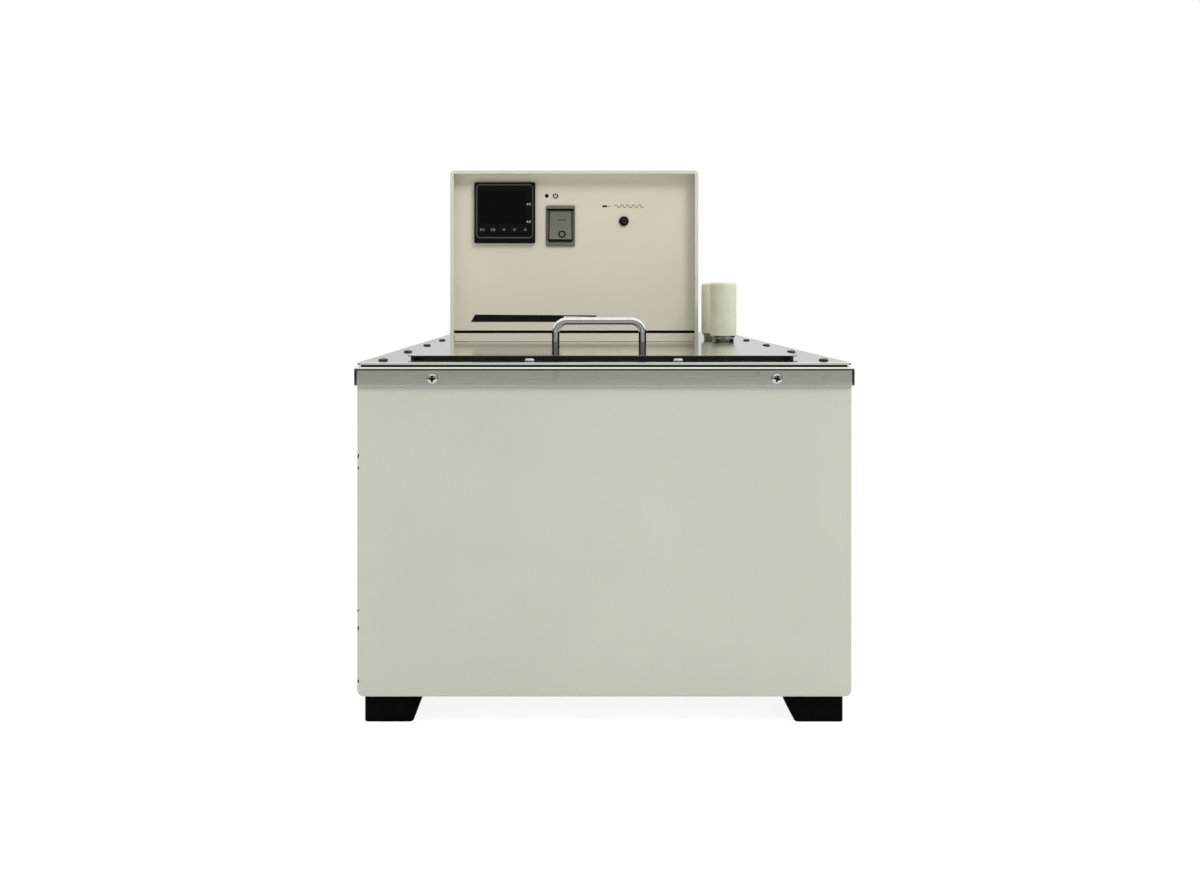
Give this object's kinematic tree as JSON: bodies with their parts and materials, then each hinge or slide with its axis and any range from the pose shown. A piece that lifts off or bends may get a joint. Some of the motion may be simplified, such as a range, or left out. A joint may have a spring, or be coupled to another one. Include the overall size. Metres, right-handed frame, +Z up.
{
  "type": "circulating water bath",
  "caption": "Table-top water bath with a stainless tank and lid, a raised control head behind it, a circulating pump with capped hose nozzles and a drain cock at the rear.",
  "frame": {"origin": "on the table, under the middle of the whole outline, drain cock included", "axes": "+X to the right of someone who faces the controls, +Y to the rear, +Z up"},
  "size_m": [0.272, 0.4616, 0.3321],
  "materials": {
    "cream_paint": "satin",
    "polished_stainless": "polished",
    "satin_stainless": "satin",
    "black_rubber": "matte",
    "insulating_foam": "matte",
    "black_plastic": "satin",
    "smoked_window": "gloss",
    "grey_plastic": "satin",
    "red_lens": "gloss",
    "cap_plastic": "satin",
    "white_plastic": "satin",
    "motor_enamel": "satin",
    "plain_brass": "satin"
  },
  "bodies": {
    "bath": {"case_wrap": "cream_paint", "front_panel": "cream_paint", "rear_panel": "cream_paint", "head_base": "cream_paint", "head_cover": "cream_paint", "head_front_panel": "cream_paint", "head_rear_panel": "cream_paint", "trim_frame": "polished_stainless", "deck_plate": "polished_stainless", "hose_nozzle_front": "polished_stainless", "hose_nozzle_rear": "polished_stainless", "inner_tank": "satin_stainless", "motor_mount": "satin_stainless", "pump_column": "satin_stainless", "pump_housing": "satin_stainless", "pump_intake_cover": "satin_stainless", "discharge_pipe": "satin_stainless", "return_pipe": "satin_stainless", "heater_loop": "satin_stainless", "temperature_probe": "satin_stainless", "float_stem": "satin_stainless", "tank_outlet": "satin_stainless", "foot_front_left": "black_rubber", "foot_front_right": "black_rubber", "foot_rear_right": "black_rubber", "foot_rear_left": "black_rubber", "deck_gasket": "black_rubber", "insulation_jacket": "insulating_foam", "controller_case": "black_plastic", "controller_bezel": "black_plastic", "lamp_bezel": "black_plastic", "cord_gland": "black_plastic", "solid_state_relay": "black_plastic", "display_window": "smoked_window", "switch_housing": "grey_plastic", "lamp_lens": "red_lens", "terminal_block": "white_plastic", "pump_motor": "motor_enamel", "nozzle_nut_front": "plain_brass", "nozzle_nut_rear": "plain_brass", "drain_cock": "plain_brass"},
    "lid": {"lid": "polished_stainless", "lid_seal": "black_rubber", "lid_handle": "polished_stainless", "handle_nut_left": "satin_stainless", "handle_nut_right": "satin_stainless"},
    "rocker": {"switch_rocker": "grey_plastic"},
    "level_button": {"level_key": "black_plastic"},
    "mode_button": {"mode_key": "black_plastic"},
    "shift_button": {"shift_key": "black_plastic"},
    "down_button": {"down_key": "black_plastic"},
    "up_button": {"up_key": "black_plastic"},
    "rotor": {"pump_shaft": "satin_stainless", "pump_impeller": "black_plastic", "motor_fan": "black_plastic"},
    "float": {"level_float": "white_plastic"},
    "front_cap": {"nozzle_cap_front": "cap_plastic"},
    "rear_cap": {"nozzle_cap_rear": "cap_plastic"},
    "cock_plug": {"drain_plug": "plain_brass"}
  },
  "joints": [
    {"name": "lid_lift", "type": "slide", "parent": "bath", "child": "lid", "axis": [0, 0, 1], "range_m": [0, 0.1]},
    {"name": "rocker_tilt", "type": "hinge", "parent": "bath", "child": "rocker", "pos_m": [-0.0271, 0.0017, 0.2894], "axis": [1, 0, 0], "range_deg": [0, 20]},
    {"name": "level_press", "type": "slide", "parent": "bath", "child": "level_button", "axis": [0, 1, 0], "range_m": [0, 0.0005], "stiffness_N_per_m": 500, "springref_m": -0.0002},
    {"name": "mode_press", "type": "slide", "parent": "bath", "child": "mode_button", "axis": [0, 1, 0], "range_m": [0, 0.0005], "stiffness_N_per_m": 500, "springref_m": -0.0002},
    {"name": "shift_press", "type": "slide", "parent": "bath", "child": "shift_button", "axis": [0, 1, 0], "range_m": [0, 0.0005], "stiffness_N_per_m": 500, "springref_m": -0.0002},
    {"name": "down_press", "type": "slide", "parent": "bath", "child": "down_button", "axis": [0, 1, 0], "range_m": [0, 0.0005], "stiffness_N_per_m": 500, "springref_m": -0.0002},
    {"name": "up_press", "type": "slide", "parent": "bath", "child": "up_button", "axis": [0, 1, 0], "range_m": [0, 0.0005], "stiffness_N_per_m": 500, "springref_m": -0.0002},
    {"name": "pump_spin", "type": "hinge", "parent": "bath", "child": "rotor", "pos_m": [-0.01625, 0.0827, 0.1997], "axis": [0, 0, 1], "continuous": true},
    {"name": "float_rise", "type": "slide", "parent": "bath", "child": "float", "axis": [0, 0, 1], "range_m": [0, 0.01]},
    {"name": "front_cap_pull", "type": "slide", "parent": "bath", "child": "front_cap", "axis": [0, 0, 1], "range_m": [0, 0.05]},
    {"name": "rear_cap_pull", "type": "slide", "parent": "bath", "child": "rear_cap", "axis": [0, 0, 1], "range_m": [0, 0.05]},
    {"name": "cock_turn", "type": "hinge", "parent": "bath", "child": "cock_plug", "pos_m": [0.06, 0.2115, 0.0688], "axis": [0, 0, 1], "range_deg": [0, 90]}
  ]
}
